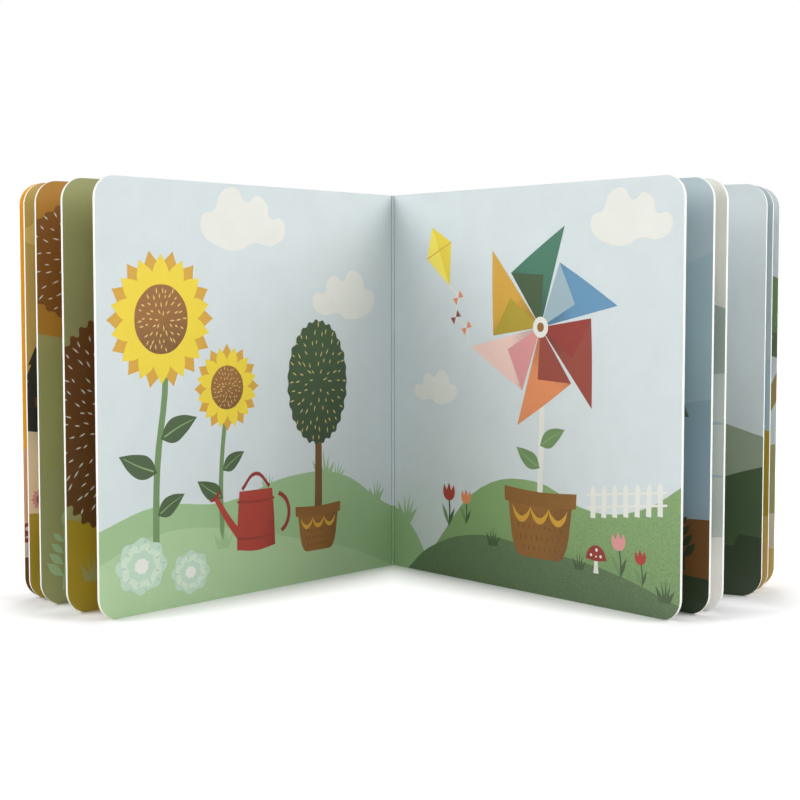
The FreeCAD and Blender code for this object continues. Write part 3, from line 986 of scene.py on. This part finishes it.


# Spine card, in two halves


def spineHalves():
    (foldL, alongL, acrossL), (foldR, alongR, acrossR) = boards["left"][-1], boards["right"][-1]
    outer = book["boardThickness"] + book["spineClearance"]
    start, end = foldL + acrossL * outer, foldR + acrossR * outer
    chord, bow = (end - start).length, book["spineBow"]
    radius = chord ** 2 / (8 * bow) + bow / 2
    way = (end - start) / chord
    out = Vector((-way.y, way.x, 0))
    centre = (start + end) / 2 + out * (bow - radius)
    angles = [degrees(atan2(v.y, v.x)) for v in (start - centre, end - centre)]
    line = arc(centre, radius, angles[0], angles[1], book["spineSteps"])
    half = book["spineSteps"] // 2
    skin = 0.1   # a printed face is no further than this inside the outer radius

    def inkOf(face):
        away = face.center - centre / 1000
        upright = face.normal.z ** 2 < 0.1
        printed = upright and face.normal.dot(away) > 0 and away.xy.length > (radius - skin) / 1000
        return linear(inks["coverMustard" if printed else "white"])

    for name, part, cover in (("spine_front", line[:half + 1], "front_board"),
                              ("spine_back", line[half:], "back_board")):
        card = wallAlong(name, part)
        bpy.ops.mesh.normals_make_consistent(inside=False)
        bpy.ops.object.mode_set(mode="OBJECT")
        middle = card.data.polygons[len(card.data.polygons) // 2]
        if middle.normal.dot(out) < 0:
            bpy.ops.object.mode_set(mode="EDIT")
            bpy.ops.mesh.flip_normals()
            bpy.ops.object.mode_set(mode="OBJECT")
        thick = card.modifiers.new("card", "SOLIDIFY")
        thick.thickness = book["spineThickness"] / 1000
        thick.offset = -1
        bpy.ops.object.modifier_apply(modifier="card")
        inkFaces(card, inkOf)
        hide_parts("spine")
        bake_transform(card)


spineHalves()
print("board book: spine made")


# Studio

studio = {
    "lens": 71.35, "cameraPlace": (0.00342, -0.77075, 0.1318), "cameraPitch": -3.767,
    "ambient": 0.32, "aim": (0, -0.06, 0.09),
    "lamps": (   # name, place, size, watts
        ("high_left", (-0.9, -0.3, 0.7), 0.8, 6.8),
        ("high_right", (0.9, -0.3, 0.7), 0.8, 6.8),
        ("front", (0.0, -1.4, 0.7), 0.8, 2.8),
        ("behind", (0.0, 1.1, 0.7), 0.9, 4.0),
    ),
    "floorSize": 8, "floorGrey": 0.94, "floorRoughness": 0.9,
    "floorLight": 0.7, "footLight": 0.0,   # camera-only glow on the floor, full far away and none at a foot, so a painted contact shadow lies round each foot on top of the real shadow
    "gutterReach": 50, "foreReach": 90,    # mm the painted shadow takes to come up, in the middle and at the fore edges
    "foreFrom": 110,
}


def setCamera():
    lens = bpy.data.cameras.new("photo_camera")
    lens.lens = studio["lens"]
    lens.sensor_width = 36
    lens.clip_start = 0.01
    camera = addToScene("photo_camera", lens)
    camera.location = studio["cameraPlace"]
    camera.rotation_euler = (radians(90 + studio["cameraPitch"]), 0, 0)
    bpy.context.scene.camera = camera
    bpy.context.scene.view_settings.view_transform = "Standard"


def setLamps():
    for name, place, size, watts in studio["lamps"]:
        light = bpy.data.lights.new(name, "AREA")
        light.shape = "DISK"
        light.size = size
        light.energy = watts
        lamp = addToScene(name, light)
        lamp.location = place
        towards = Vector(studio["aim"]) - Vector(place)
        lamp.rotation_euler = towards.to_track_quat("-Z", "Y").to_euler()


def setWorld():
    world = bpy.data.worlds.new("studio")
    world.use_nodes = True
    bpy.context.scene.world = world
    finish = Finish(world.node_tree)
    camera, gloss, through = (finish.add("LightPath", None, None, f"Is {ray} Ray")
                              for ray in ("Camera", "Glossy", "Transmission"))
    strength = studio["ambient"] + finish.clamp(camera + gloss + through) * (1 - studio["ambient"])
    background = world.node_tree.nodes["Background"]
    background.inputs["Color"].default_value = (1, 1, 1, 1)
    finish.join(strength, background.inputs["Strength"])


def setFloor():
    bpy.ops.mesh.primitive_plane_add(size=studio["floorSize"], location=(0, 0, 0))
    floor = bpy.context.active_object
    floor.name = "studio_floor"
    material, finish, shader = newMaterial("paleFloor")
    shader["Base Color"].default_value = [studio["floorGrey"]] * 3 + [1]
    shader["Roughness"].default_value = studio["floorRoughness"]
    where = finish.add("TexCoord", None, None, "Object")
    nearest = None
    for fold, along, across in boards["left"] + boards["right"]:   # how near the foot of a board is
        alongWay = finish.dot(where, along)
        beside = finish.size(finish.dot(where, across) - fold.dot(across) / 1000)
        beyond = finish.sum("MAXIMUM", alongWay - book["pageWidth"] / 1000, 0 - alongWay)
        away = finish.sum("MAXIMUM", beside, beyond)
        nearest = away if nearest is None else finish.sum("MINIMUM", nearest, away)
    place = finish.add("SeparateXYZ", None, {0: where})
    fore = finish.clamp(finish.size(place) * (1000 / studio["foreFrom"]))
    rise = 1000 / studio["gutterReach"]
    # painted shadow: the camera-only glow fades towards the nearest board foot, leaving the real shadow
    # there darker than the rest of the floor
    near = 1 - finish.clamp(nearest * (rise - fore * (rise - 1000 / studio["foreReach"])))
    added = studio["floorLight"] - near * near * (studio["floorLight"] - studio["footLight"])
    camera = finish.add("LightPath", None, None, "Is Camera Ray")
    level = camera * added
    grey = finish.add("CombineColor", None, {0: level, 1: level, 2: level})
    glow = finish.add("Emission", None, {"Color": grey})
    plain = Wire(finish, material.node_tree.nodes["Principled BSDF"].outputs[0])
    shown = finish.add("AddShader", None, {0: plain, 1: glow})
    finish.join(shown, material.node_tree.nodes["Material Output"].inputs["Surface"])
    floor.data.materials.append(material)


setCamera()
setLamps()
setWorld()
setFloor()
print("board book: studio set")
